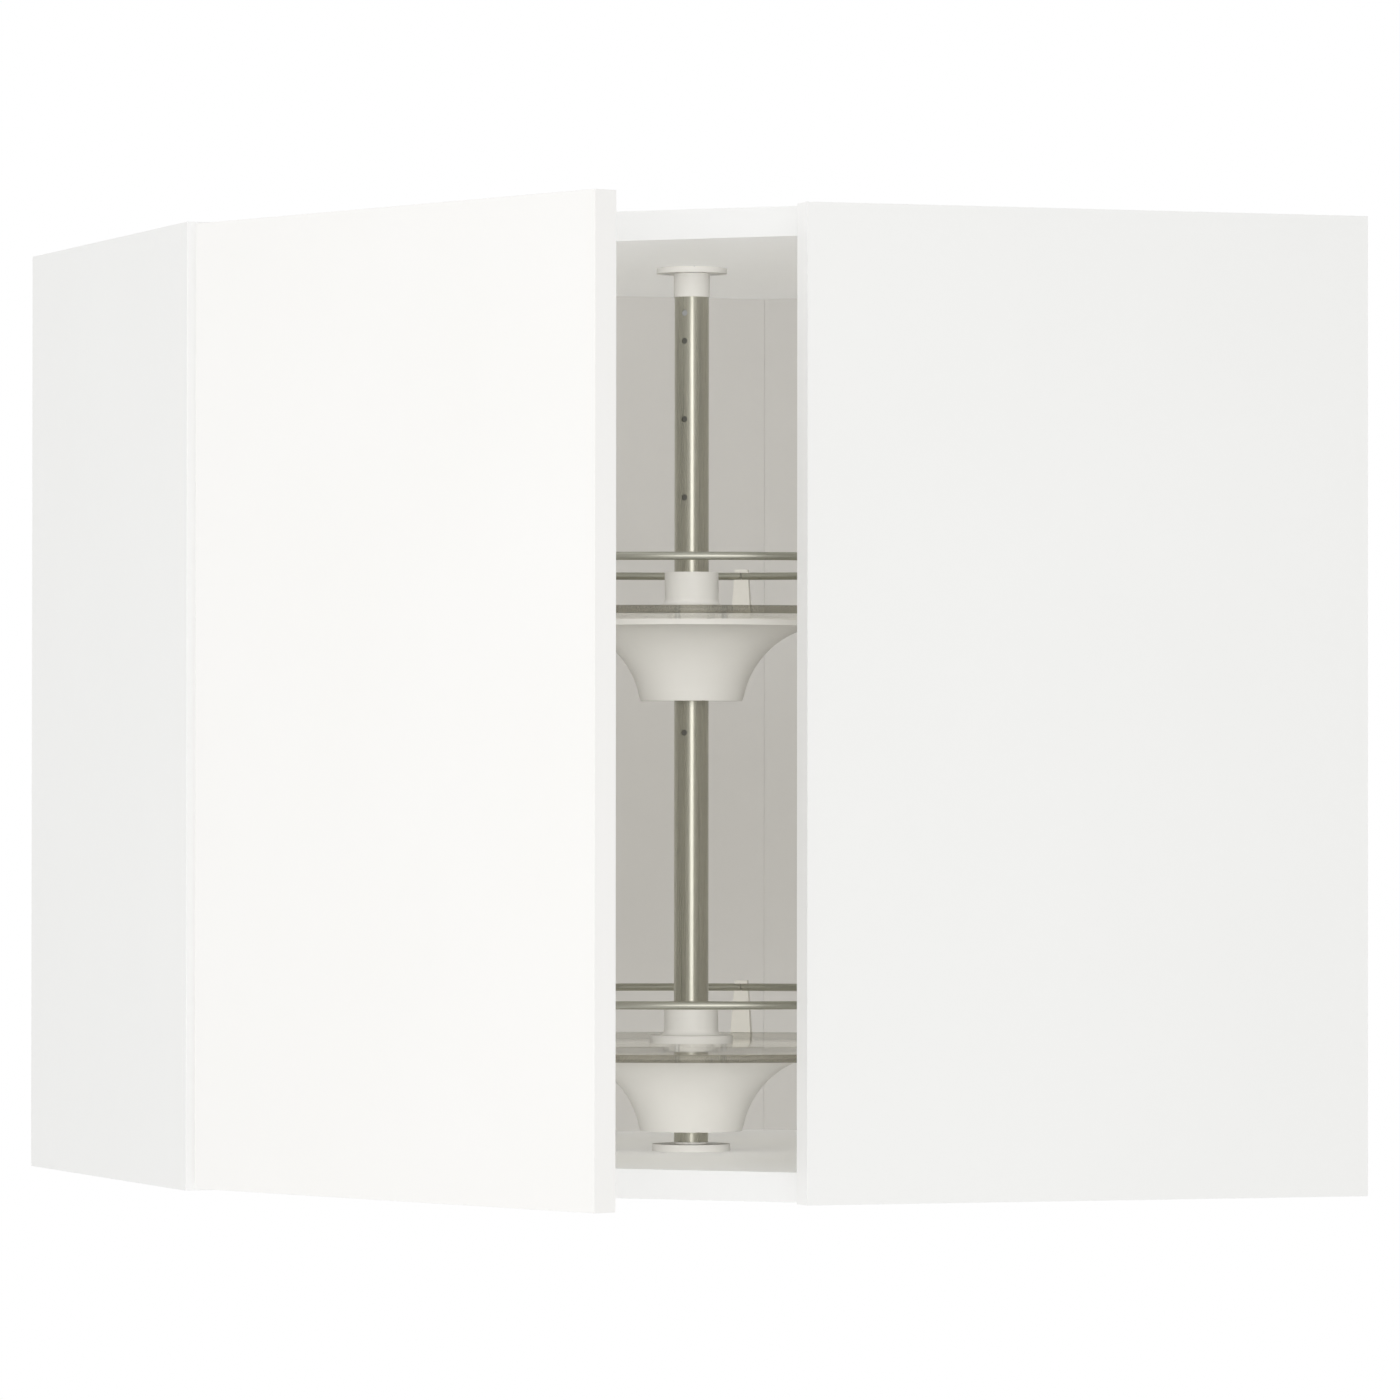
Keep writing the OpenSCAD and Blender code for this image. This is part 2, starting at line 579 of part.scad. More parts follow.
// Carousel shelves, cones and hubs
module at_hub_screws() for (turn = [0:120:240]) rotate([0, 0, turn + 30])
    translate([hub_screw_r, 0, 0]) children();
module shelf(top) translate([0, 0, top - shelf_t]) difference() {
    rotate_extrude($fn = 180) polygon([[glass_bore_r, 0], [shelf_r - glass_edge, 0],
        [shelf_r, glass_edge], [shelf_r, shelf_t - glass_edge], [shelf_r - glass_edge, shelf_t],
        [glass_bore_r, shelf_t]]);
    at_hub_screws() translate([0, 0, -eps]) cylinder(d = hub_screw_d + 1, h = shelf_t + 1);
}
module cone(foot_z) translate([0, 0, foot_z]) difference() {
    rotate_extrude() polygon(concat([[foot_r - foot_round, 0]],
        [for (i = [1:flare_steps]) let (z = flare_top * i / flare_steps)
            [min(flare(z), rim_r), z]],
        [[rim_r, flare_top], [rim_r, cone_h - rim_edge], [rim_r - rim_edge, cone_h], [bore_r, cone_h],
            [bore_r, sleeve_z], [sleeve_r, sleeve_z], [sleeve_r, flare_top]],
        [for (i = [flare_steps:-1:0]) let (z = flare_top * i / flare_steps)
            [flare(z) - cone_wall, z]]));
    at_hub_screws() cylinder(d = hub_screw_d + 2 * fit, h = cone_h + 1);
}
rib_t = 2;
rib_sink = 0.5;                                     // depth of a rib's ends inside the walls
module cone_ribs(foot_z) translate([0, 0, foot_z + sleeve_z]) for (turn = [0:60:300])
    rotate([0, 0, turn]) translate([sleeve_r - rib_sink, -rib_t / 2, 0])
        cube([flare(sleeve_z) - cone_wall - sleeve_r + 2 * rib_sink, rib_t,
            flare_top - sleeve_z + rib_sink]);
module ribbed_cone(foot_z) union() { cone(foot_z); cone_ribs(foot_z); }
fillet_r = 4;
hub_edge = 0.7;
collar_round = 1.5;
hub_roof = 1.2;                                     // plastic left above a hub screw
module hub(top) translate([0, 0, top]) difference() {
    rotate_extrude() polygon(concat(
        [[bore_r, -shelf_t + slack], [boss_r, -shelf_t + slack], [boss_r, 0], [flange_r, 0],
            [flange_r, flange_h - hub_edge], [flange_r - hub_edge, flange_h]],
        [for (i = [0:6]) [collar_r + fillet_r - fillet_r * sin(15 * i),
            flange_h + fillet_r - fillet_r * cos(15 * i)]],
        [for (i = [0:4]) [collar_r - collar_round * (1 - cos(22.5 * i)),
            hub_h - collar_round * (1 - sin(22.5 * i))]],
        [[bore_r, hub_h]]));
    at_hub_screws() translate([0, 0, -eps])
        cylinder(d = hub_screw_d + 2 * fit, h = flange_h - hub_roof + hole_spare);
}
module hub_screws(top) translate([0, 0, top - shelf_t - rim_h]) at_hub_screws() mirror([0, 0, 1])
    screw(hub_screw_d, rim_h + shelf_t + flange_h - hub_roof, 6.5, 1.8);
module rail(top) translate([0, 0, top + rail_h]) rotate_extrude($fn = 180)
    translate([rail_r, 0]) circle(d = rail_d, $fn = 32);

// A support clips over the glass edge and holds the rail in a groove that faces the post
support_foot = 13.2;
support_top = 8.6;
support_back = 2;
support_lip = 2.2;
support_in = 9;
module support(top) translate([0, -support_foot / 2, top]) difference() {
    x0 = shelf_r - support_in;
    x1 = shelf_r + support_back;
    z0 = -shelf_t - support_lip;
    z1 = rail_h + rail_d / 2 + 2;
    intersection() {
        translate([0, support_foot, 0]) rotate([90, 0, 0]) linear_extrude(support_foot)
            polygon([[x0, z0], [x1, z0], [x1, 0.4 * z1], [rail_r + rail_d / 2 + 2.2, z1],
                [rail_r - 1, z1], [rail_r - 1, z1 - 5], [x0 + 1.5, 0.35 * z1], [x0, 2]]);
        translate([0, support_foot / 2, 0]) rotate([90, 0, 90]) linear_extrude(2 * shelf_r)
            polygon([[-support_foot / 2, z0], [support_foot / 2, z0], [support_foot / 2, 0],
                [support_top / 2, z1], [-support_top / 2, z1], [-support_foot / 2, 0]]);
    }
    // The glass lies in a slot that follows its edge
    translate([0, support_foot / 2, -shelf_t - fit]) cylinder(r = shelf_r + fit, h = shelf_t + 2 * fit,
        $fn = 180);
    translate([0, support_foot / 2, rail_h]) rotate_extrude($fn = 180)
        translate([rail_r, 0]) circle(d = rail_d + 2 * fit, $fn = 32);
}
module supports(top) for (i = [0:support_count - 1])
    rotate([0, 0, support_angle + i * 360 / support_count]) support(top);

module upper_shelf() color(glass) shelf(upper_top);
module upper_cone() color(plastic) ribbed_cone(cone_foot_upper);
module upper_hub() color(plastic) hub(upper_top);
module upper_hub_screws() color(zinc) hub_screws(upper_top);
module upper_rail() color(steel) rail(upper_top);
module upper_rail_supports() color(plastic) supports(upper_top);
module lower_shelf() color(glass) shelf(lower_top);
module lower_cone() color(plastic) ribbed_cone(cone_foot_lower);
module lower_hub() color(plastic) hub(lower_top);
module lower_hub_screws() color(zinc) hub_screws(lower_top);
module lower_rail() color(steel) rail(lower_top);
module lower_rail_supports() color(plastic) supports(lower_top);

left_side_panel();
right_side_panel();
top_board();
bottom_board();
left_back_board();
right_back_board();
corner_back_board();
carcass_dowels();
cam_bolts();
cam_discs();
hanging_brackets();
bracket_screws();
post();
floor_plate();
ceiling_plate();
plate_screws();
post_lock_screw();
upper_stop_ring();
lower_stop_ring();
upper_fixing_pin();
lower_fixing_pin();
slip_washers();
hinge_plates();
hinge_plate_screws();
hinge_guides();
door_panel();
door_bumpers();
hinge_cups();
hinge_cup_screws();
hinge_arms();
hinge_arm_screws();
upper_shelf();
upper_cone();
upper_hub();
upper_hub_screws();
upper_rail();
upper_rail_supports();
lower_shelf();
lower_cone();
lower_hub();
lower_hub_screws();
lower_rail();
lower_rail_supports();
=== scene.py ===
# %% [markdown]
# # A corner cabinet with a turning carousel
# The cabinet hangs in the corner of a kitchen. A slanted door closes a white carcass of foiled
# chipboard, and inside two round glass shelves turn on a steel post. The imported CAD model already
# holds every piece at its real size, so this lesson gives each visible piece its eased edges,
# moulded radii and finish, and then lights it as a plain studio does.

# %% Load the frame
import json
import math

import bpy
from mathutils import Euler, Matrix, Vector


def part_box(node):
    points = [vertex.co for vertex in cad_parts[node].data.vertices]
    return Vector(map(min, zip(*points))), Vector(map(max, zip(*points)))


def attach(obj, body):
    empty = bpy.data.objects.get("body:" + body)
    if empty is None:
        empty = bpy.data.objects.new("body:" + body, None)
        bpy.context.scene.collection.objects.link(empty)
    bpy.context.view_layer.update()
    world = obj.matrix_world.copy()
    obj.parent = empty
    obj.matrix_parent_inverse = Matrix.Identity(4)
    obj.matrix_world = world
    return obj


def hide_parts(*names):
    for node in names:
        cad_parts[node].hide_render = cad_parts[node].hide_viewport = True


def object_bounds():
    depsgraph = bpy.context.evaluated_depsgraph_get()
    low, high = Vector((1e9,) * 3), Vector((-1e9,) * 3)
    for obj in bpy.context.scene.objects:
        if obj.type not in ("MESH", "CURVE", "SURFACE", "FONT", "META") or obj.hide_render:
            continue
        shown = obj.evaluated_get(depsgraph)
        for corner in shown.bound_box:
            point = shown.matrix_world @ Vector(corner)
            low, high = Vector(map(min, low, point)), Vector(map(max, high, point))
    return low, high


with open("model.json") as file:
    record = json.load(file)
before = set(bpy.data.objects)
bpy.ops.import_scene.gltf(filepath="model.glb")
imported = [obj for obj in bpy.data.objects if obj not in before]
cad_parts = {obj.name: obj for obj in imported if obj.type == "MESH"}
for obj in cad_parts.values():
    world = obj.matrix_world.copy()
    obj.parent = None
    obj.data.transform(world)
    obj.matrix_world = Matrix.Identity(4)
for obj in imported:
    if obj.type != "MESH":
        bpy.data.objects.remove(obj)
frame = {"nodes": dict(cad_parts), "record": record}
cad_low, cad_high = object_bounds()
nodes = frame["nodes"]
MM = 0.001
print("cabinet box in mm:", [round((b - a) / MM) for a, b in zip(cad_low, cad_high)])

# %% [markdown]
# The photograph was taken from the right of the door, level with the lower third of the cabinet and
# from far enough away that the upright edges stay nearly parallel. A long lens at that place gives
# the same outline, and the camera comes first.

# %% Camera
camera_place = Vector((2.3074, -4.8585, 0.2462))
camera_turn = math.radians(25.346)
camera_rise = math.radians(0.634)
camera_roll = 0.00085
lens_mm = 216.54

bpy.ops.object.camera_add(location=camera_place)
camera = bpy.context.object
camera.name = "photo_camera"
level = Euler((math.pi / 2 + camera_rise, 0, camera_turn)).to_matrix()
camera.rotation_euler = (level @ Matrix.Rotation(camera_roll, 3, "Z")).to_euler()
camera.data.lens = lens_mm
camera.data.sensor_width = 36
camera.data.clip_end = 50
bpy.context.scene.camera = camera
bpy.context.scene.view_settings.view_transform = "Standard"

# %% [markdown]
# Every operator acts on what is selected, and the frame arrives with all its nodes selected. These
# small helpers clear that, pick one piece, and apply its place and its modifiers, so that each
# finished piece ends with its object at the origin and its whole shape in its mesh.

# %% Helpers for modelling
same_point = 1e-6
flat_within = math.radians(0.5)
smooth_within = math.radians(40)
flat_face_weight = 80


def deselect():
    """Leaves edit mode and selects nothing."""
    if bpy.context.object and bpy.context.object.mode != "OBJECT":
        bpy.ops.object.mode_set(mode="OBJECT")
    bpy.ops.object.select_all(action="DESELECT")


def choose(piece):
    """Makes this piece the only one that the next operator sees."""
    deselect()
    piece.select_set(True)
    bpy.context.view_layer.objects.active = piece


def settle(piece):
    """Writes the piece's place, turn and size into its mesh."""
    choose(piece)
    bpy.ops.object.transform_apply(location=True, rotation=True, scale=True)
    return piece


def apply(piece, kind, **settings):
    """Adds one modifier with these settings and applies it."""
    choose(piece)
    modifier = piece.modifiers.new(kind.lower(), kind)
    for key, value in settings.items():
        setattr(modifier, key, value)
    bpy.ops.object.modifier_apply(modifier=modifier.name)
    return piece


def cut(piece, tool):
    """Cuts the tool's shape out of the piece and removes the tool."""
    apply(piece, "BOOLEAN", object=tool, operation="DIFFERENCE", solver="EXACT")
    bpy.data.objects.remove(tool)


def ease(piece, width, segments=2, angle=30):
    """Rounds every edge sharper than the angle, with the large faces still shaded flat."""
    apply(piece, "BEVEL", width=width, segments=segments, limit_method="ANGLE",
          angle_limit=math.radians(angle))
    choose(piece)
    bpy.ops.object.shade_smooth_by_angle(angle=smooth_within)
    return apply(piece, "WEIGHTED_NORMAL", keep_sharp=True, weight=flat_face_weight)


# %% [markdown]
# Round parts such as the cones, hubs and end plates are turned shapes. Each starts as one point,
# is drawn out along its profile by extruding, and is spun once round the post. Spinning leaves a
# double seam and may turn the skin inside out, so both are put right before any edge is eased.
# Screw holes and bores are cut with plain cylinders, which are set down at their place first.

# %% Helpers for turned pieces and holes
def select_vertices(piece, indices):
    """Selects these vertices by number, and stays in edit mode."""
    choose(piece)
    bpy.ops.object.mode_set(mode="EDIT")
    bpy.ops.mesh.select_mode(type="VERT")
    bpy.ops.mesh.select_all(action="DESELECT")
    bpy.ops.object.mode_set(mode="OBJECT")
    for index in indices:
        piece.data.vertices[index].select = True
    bpy.ops.object.mode_set(mode="EDIT")


def draw_profile(name, profile):
    """One point, extruded along (radius, height) points in millimetres to a line of edges."""
    deselect()
    bpy.ops.mesh.primitive_plane_add(size=MM)
    piece = bpy.context.object
    piece.name = name
    bpy.ops.object.mode_set(mode="EDIT")
    bpy.ops.mesh.select_all(action="SELECT")
    bpy.ops.mesh.merge(type="CENTER")
    last = Vector((0, 0, 0))
    for number, (radius, height) in enumerate(profile):
        point = Vector((radius, 0, height)) * MM
        if number == 0:
            bpy.ops.transform.translate(value=point)
        else:
            bpy.ops.mesh.extrude_vertices_move(TRANSFORM_OT_translate={"value": point - last})
        last = point
    bpy.ops.object.mode_set(mode="OBJECT")
    return piece


def turned(name, profile, steps=128):
    """A closed solid turned about the post from a profile of (radius, height) in millimetres."""
    piece = draw_profile(name, profile)
    if profile[0][0] > 0 or profile[-1][0] > 0:
        ends = [v.index for v in piece.data.vertices
                if sum(v.index in edge.vertices for edge in piece.data.edges) == 1]
        select_vertices(piece, ends)
        bpy.ops.mesh.edge_face_add()
    choose(piece)
    bpy.ops.object.mode_set(mode="EDIT")
    bpy.ops.mesh.select_all(action="SELECT")
    bpy.ops.mesh.spin(steps=steps, angle=2 * math.pi, center=(0, 0, 0), axis=(0, 0, 1))
    bpy.ops.mesh.select_all(action="SELECT")
    bpy.ops.mesh.remove_doubles(threshold=same_point)
    bpy.ops.mesh.normals_make_consistent(inside=False)
    bpy.ops.object.mode_set(mode="OBJECT")
    return piece


def drill_ring(piece, ring, turns, radius, low, high):
    """Cuts upright holes on a circle round the post, from low to high, in millimetres."""
    for turn in turns:
        angle = math.radians(turn)
        place = (ring * math.cos(angle), ring * math.sin(angle))
        bpy.ops.mesh.primitive_cylinder_add(
            vertices=48, radius=radius * MM, depth=(high - low) * MM,
            location=(place[0] * MM, place[1] * MM, (low + high) / 2 * MM))
        cut(piece, bpy.context.object)


def bore(piece, radius, depth, across, back, height, sides=64):
    """Cuts a level hole along Y, to this depth on both sides of its place, in millimetres."""
    bpy.ops.mesh.primitive_cylinder_add(
        vertices=sides, radius=radius * MM, depth=2 * depth * MM,
        location=(across * MM, back * MM, height * MM), rotation=(math.pi / 2, 0, 0))
    cut(piece, settle(bpy.context.object))


# %% [markdown]
# The frame's nodes are exact but sharp, and no board or casting leaves a factory with a knife
# edge. A straight-sided piece is finished from a copy of its node: the loose triangles are joined,
# flat neighbours are dissolved into whole faces, and the arrises are eased by the width that such
# a piece really has. The node itself is never touched.

# %% Helper for pieces finished from a node
def copy_node(node, name):
    """A mesh like the node's, with its loose triangles joined and its flat faces whole."""
    piece = bpy.data.objects.new(name, nodes[node].data.copy())
    bpy.context.scene.collection.objects.link(piece)
    choose(piece)
    bpy.ops.object.mode_set(mode="EDIT")
    bpy.ops.mesh.select_all(action="SELECT")
    bpy.ops.mesh.remove_doubles(threshold=same_point)
    bpy.ops.mesh.dissolve_limited(angle_limit=flat_within)
    bpy.ops.object.mode_set(mode="OBJECT")
    return piece


def place_piece(piece, body, slot, finish, *replaced):
    """Gives the piece its finish and its body, and hides the nodes that it stands for."""
    if not piece.data.materials or piece.data.materials[0] is not finish:
        piece.data.materials.clear()
        piece.data.materials.append(finish)
    if replaced:
        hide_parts(*replaced)
    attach(piece, body)
    print(f"{piece.name}: {len(piece.data.polygons)} faces on {body}")


# %% [markdown]
# Colours were read off the photograph as screen values, and a shader wants linear light. Each
# finish below starts as one Principled shader whose colour, roughness and bump are stirred by
# noise on the piece's own coordinates in metres, so a grain keeps its real size on every piece.

# %% Helpers for finishes
noise_low = 0.3
noise_high = 0.7


def tone(red, green, blue):
    """A screen colour from 0 to 255 as linear light."""
    def linear(value):
        value /= 255
        return value / 12.92 if value <= 0.04045 else ((value + 0.055) / 1.055) ** 2.4
    return (linear(red), linear(green), linear(blue), 1)


def new_finish(name, colour, roughness, metallic=0.0):
    """A material of this name, with its Principled shader."""
    finish = bpy.data.materials.new(name)
    finish.use_nodes = True
    shader = finish.node_tree.nodes["Principled BSDF"]
    shader.inputs["Base Color"].default_value = colour
    shader.inputs["Roughness"].default_value = roughness
    shader.inputs["Metallic"].default_value = metallic
    finish.diffuse_color = colour
    return finish, shader


def grain(finish, size, stretch=(1, 1, 1), detail=3.0):
    """Noise whose lumps are about size millimetres across, drawn out by the stretch."""
    tree = finish.node_tree
    place = tree.nodes.new("ShaderNodeTexCoord")
    mapping = tree.nodes.new("ShaderNodeMapping")
    mapping.inputs["Scale"].default_value = [1 / (size * MM * s) for s in stretch]
    pattern = tree.nodes.new("ShaderNodeTexNoise")
    pattern.inputs["Scale"].default_value = 1
    pattern.inputs["Detail"].default_value = detail
    tree.links.new(place.outputs["Object"], mapping.inputs["Vector"])
    tree.links.new(mapping.outputs["Vector"], pattern.inputs["Vector"])
    return pattern.outputs["Fac"]


def tint(finish, shader, pattern, dark, light):
    """The base colour wanders between two tones."""
    tree = finish.node_tree
    mix = tree.nodes.new("ShaderNodeMix")
    mix.data_type = "RGBA"
    colours = [socket for socket in mix.inputs if socket.type == "RGBA"]
    colours[0].default_value, colours[1].default_value = dark, light
    tree.links.new(pattern, mix.inputs["Factor"])
    result = [socket for socket in mix.outputs if socket.type == "RGBA"][0]
    tree.links.new(result, shader.inputs["Base Color"])


def polish(finish, shader, pattern, smooth, rough):
    """The roughness wanders between two values."""
    tree = finish.node_tree
    spread = tree.nodes.new("ShaderNodeMapRange")
    spread.inputs["From Min"].default_value = noise_low
    spread.inputs["From Max"].default_value = noise_high
    spread.inputs["To Min"].default_value = smooth
    spread.inputs["To Max"].default_value = rough
    tree.links.new(pattern, spread.inputs["Value"])
    tree.links.new(spread.outputs["Result"], shader.inputs["Roughness"])


def raise_grain(finish, shader, pattern, height):
    """The grain stands up by height millimetres."""
    tree = finish.node_tree
    bump = tree.nodes.new("ShaderNodeBump")
    bump.inputs["Distance"].default_value = height * MM
    tree.links.new(pattern, bump.inputs["Height"])
    tree.links.new(bump.outputs["Normal"], shader.inputs["Normal"])


def seen_rays(tree):
    """1 for a ray that shows in the picture, direct, reflected or through glass, and 0 else."""
    rays = tree.nodes.new("ShaderNodeLightPath").outputs
    seen = rays["Is Camera Ray"]
    for kind in ("Is Glossy Ray", "Is Transmission Ray"):
        either = tree.nodes.new("ShaderNodeMath")
        either.operation = "MAXIMUM"
        tree.links.new(seen, either.inputs[0])
        tree.links.new(rays[kind], either.inputs[1])
        seen = either.outputs[0]
    return seen


def blend(tree, share, first, second, output):
    """Goes from the first shader to the second by the share, into the tree's output node."""
    choice = tree.nodes.new("ShaderNodeMixShader")
    tree.links.new(share, choice.inputs["Fac"])
    tree.links.new(first.outputs[0], choice.inputs[1])
    tree.links.new(second.outputs[0], choice.inputs[2])
    tree.links.new(choice.outputs[0], tree.nodes[output].inputs["Surface"])


# %% [markdown]
# The carcass is chipboard under white foil. Foil is pressed over rolled board, so it carries a
# very shallow orange peel about a millimetre across and drifts in tone by a shade over a hand's
# width. The door is the same idea in a warmer and more matt foil.

# %% Foil finishes
def foil(name, dark, light, roughness, peel):
    """Pressed foil whose orange peel stands up by peel millimetres."""
    finish, shader = new_finish(name, light, roughness)
    tint(finish, shader, grain(finish, 120), dark, light)
    polish(finish, shader, grain(finish, 9), roughness - 0.04, roughness + 0.04)
    raise_grain(finish, shader, grain(finish, 0.9), peel)
    shader.inputs["Specular IOR Level"].default_value = 0.35
    return finish


carcass_foil = foil("carcass_foil", tone(244, 244, 242), tone(246, 246, 244), 0.42, 0.006)
board_foil = foil("board_foil", tone(243, 243, 242), tone(245, 245, 244), 0.42, 0.006)
door_foil = foil("door_foil", tone(247, 246, 243), tone(249, 248, 246), 0.5, 0.008)
back_board_foil = foil("back_board_foil", tone(228, 226, 223), tone(232, 230, 227), 0.5, 0.01)
# The band is a little lighter than the foil: partly its own colour, partly painted light that lifts
# the shade on the front edges.
edge_band_with_painted_light = foil("edge_band_with_painted_light", tone(248, 248, 247), tone(250, 250, 249), 0.34, 0.003)

# %% [markdown]
# The cones, hubs, clips and end plates are moulded in a warm off-white plastic. The mould is spark
# eroded, which leaves a fine even sparkle of pits, and thick walls let a little light sink in.

# %% Moulded plastic
def moulded(name, dark, light, roughness):
    """Plastic with the fine pits of a spark-eroded mould."""
    finish, shader = new_finish(name, light, roughness)
    tint(finish, shader, grain(finish, 30), dark, light)
    polish(finish, shader, grain(finish, 4), roughness - 0.05, roughness + 0.05)
    raise_grain(finish, shader, grain(finish, 0.35, detail=1.0), 0.012)
    shader.inputs["Specular IOR Level"].default_value = 0.4
    return finish


white_plastic = moulded("white_plastic", tone(216, 214, 209), tone(221, 219, 214), 0.45)
clip_plastic = moulded("clip_plastic", tone(217, 214, 206), tone(221, 218, 211), 0.45)

# %% [markdown]
# The post is a drawn tube with a satin nickel plating. Brushing along its length leaves scratches
# that are long and very narrow, so its noise is squeezed across the tube and drawn out along it.
# The rods of the rails have the same plating with an even grain. Inside, the tube is bare and dull,
# because a polished bore would show a bright dot in every pin hole.

# %% Metals
def brushed(name, dark, light, roughness, size, stretch, depth):
    """Plated metal with streaks size millimetres wide and depth millimetres deep."""
    finish, shader = new_finish(name, light, roughness, metallic=1.0)
    streaks = grain(finish, size, stretch)
    tint(finish, shader, streaks, dark, light)
    polish(finish, shader, streaks, roughness - 0.05, roughness + 0.06)
    raise_grain(finish, shader, streaks, depth)
    return finish


satin_nickel = brushed("satin_nickel", tone(185, 183, 170), tone(191, 189, 177), 0.29,
                       0.3, (1, 1, 400), 0.0006)
rod_nickel = brushed("rod_nickel", tone(162, 161, 149), tone(176, 175, 164), 0.34,
                     0.5, (1, 1, 1), 0.001)
zinc_plate = brushed("zinc_plate", tone(186, 189, 192), tone(206, 208, 210), 0.34,
                     3.0, (1, 1, 1), 0.004)

tube_bore, bore_shader = new_finish("tube_bore", tone(170, 168, 160), 0.6)
tint(tube_bore, bore_shader, grain(tube_bore, 2.0), tone(166, 164, 156), tone(174, 172, 164))

# %% [markdown]
# The shelves are clear tempered glass, looked at here almost edge on. Full mirror glass would hide
# all that lies behind them at that angle, while the photograph shows a soft glare over a warm tint.
# So the flat faces let light straight through, tinted a little, and add a gloss that grows towards
# grazing angles and is held back before it blinds. The ground edge is a finish of its own, because
# the light that runs inside the plate comes out there and makes it look like dull metal.

# %% Glass and other small finishes
def pane(name, tint_colour, glare, roughness):
    """Glass that is tinted, see-through, and glossier the more it is seen edge on."""
    finish, shader = new_finish(name, tone(250, 250, 248), roughness, metallic=1.0)
    polish(finish, shader, grain(finish, 40), roughness, roughness + 0.02)
    tree = finish.node_tree
    clear = tree.nodes.new("ShaderNodeBsdfTransparent")
    clear.inputs["Color"].default_value = tint_colour
    edge_on = tree.nodes.new("ShaderNodeFresnel")
    edge_on.inputs["IOR"].default_value = 1.5
    held = tree.nodes.new("ShaderNodeMath")
    held.operation = "MINIMUM"
    held.inputs[1].default_value = glare
    tree.links.new(edge_on.outputs[0], held.inputs[0])
    blend(tree, held.outputs[0], clear, shader, "Material Output")
    return finish


def clear_gel(name, colour, roughness):
    """A small see-through pad that scatters a little."""
    finish, shader = new_finish(name, colour, roughness)
    shader.inputs["Transmission Weight"].default_value = 1.0
    shader.inputs["IOR"].default_value = 1.45
    polish(finish, shader, grain(finish, 4), roughness, roughness + 0.05)
    return finish


def wood(name, dark, light):
    """Beech with streaks that run along Y."""
    finish, shader = new_finish(name, light, 0.6)
    streaks = grain(finish, 1.2, (1, 12, 1))
    tint(finish, shader, streaks, dark, light)
    raise_grain(finish, shader, streaks, 0.03)
    return finish


shelf_glass = pane("shelf_glass", tone(249, 248, 244), 0.55, 0.06)
shelf_edge = pane("shelf_edge", tone(190, 188, 178), 0.2, 0.3)
clear_bumper = clear_gel("clear_bumper", tone(240, 240, 238), 0.3)
beech = wood("beech", tone(196, 158, 112), tone(222, 190, 146))

# %% [markdown]
# The boards come first because everything else hangs on them. Their front edges carry a thin band,
# glued on after sawing, which is a touch glossier than the foil. The band is also a little lighter
# than the foil: partly its own colour, partly painted light that lifts the shade falling on the
# front edges beside the open door. Those faces are found by the way they face once the arrises
# are eased, and only they get the band's finish.

# %% Carcass boards
board_arris = 0.5
thin_arris = 0.2
facing_share = 0.7
wall_axis_left = Vector((1, -1, 0)).normalized()
wall_axis_right = Vector((-1, -1, 0)).normalized()
front = Vector((0, -1, 0))


def banded_board(node, slot, finish, facing):
    """A board from its node, with the band's finish on the faces that look along facing."""
    board = ease(copy_node(node, f"{node}_piece"), board_arris * MM)
    board.data.materials.clear()
    board.data.materials.append(finish)
    board.data.materials.append(edge_band_with_painted_light)
    for face in board.data.polygons:
        face.material_index = int(face.normal.dot(facing) > facing_share)
    place_piece(board, "carcass", slot, finish, node)


banded_board("left_side_panel", "carcass_foil", carcass_foil, wall_axis_left)
banded_board("right_side_panel", "carcass_foil", carcass_foil, wall_axis_right)
banded_board("top_board", "board_foil", board_foil, front)
banded_board("bottom_board", "board_foil", board_foil, front)
for node in ("left_back_board", "right_back_board", "corner_back_board"):
    board = ease(copy_node(node, f"{node}_piece"), thin_arris * MM)
    place_piece(board, "carcass", "back_board_foil", back_board_foil, node)

# %% [markdown]
# The door is one slab with foil wrapped round its edges, so its arrises are softer than a banded
# board's. It is made shut, as a plain block, and bored for the two hinge cups and their screws.
# Then its edges are eased and the whole door is swung about the hinge's axis to where it stands.

# %% Door
door_open = math.radians(25)
hinge_place = Vector(next(j for j in frame["record"]["behaviour"]["joints"]
                          if j["name"] == "door_hinge")["pos_m"])
swing = (Matrix.Translation(hinge_place) @ Matrix.Rotation(-door_open, 4, "Z")
         @ Matrix.Translation(-hinge_place))
shut = swing.inverted()
door_arris = 1.2
cup_radius = 17.5
cup_depth = 12.1
cup_from_edge = 22
cup_inset = 88
pilot_radius = 1.8
pilot_depth = 10.5
pilot_from_cup = 9.5
pilot_reach = 24


def shut_box(node):
    """A node's lowest and highest corners in millimetres with the door swung shut."""
    points = [shut @ vertex.co for vertex in nodes[node].data.vertices]
    return [Vector(side(p[axis] for p in points) / MM for axis in range(3)) for side in (min, max)]


low, high = shut_box("door_panel")
bpy.ops.mesh.primitive_cube_add(size=MM, location=(low + high) / 2 * MM, scale=high - low)
door = settle(bpy.context.object)
door.name = "door"
cup_middle = low.x + cup_from_edge
pilot_middle = cup_middle + pilot_from_cup
for height in (low.z + cup_inset, high.z - cup_inset):
    bore(door, cup_radius, cup_depth, cup_middle, high.y, height)
    for offset in (-pilot_reach, pilot_reach):
        bore(door, pilot_radius, pilot_depth, pilot_middle, high.y, height + offset)
ease(door, door_arris * MM, segments=3, angle=60)
door.matrix_world = swing
place_piece(settle(door), "door", "door_foil", door_foil, "door_panel")

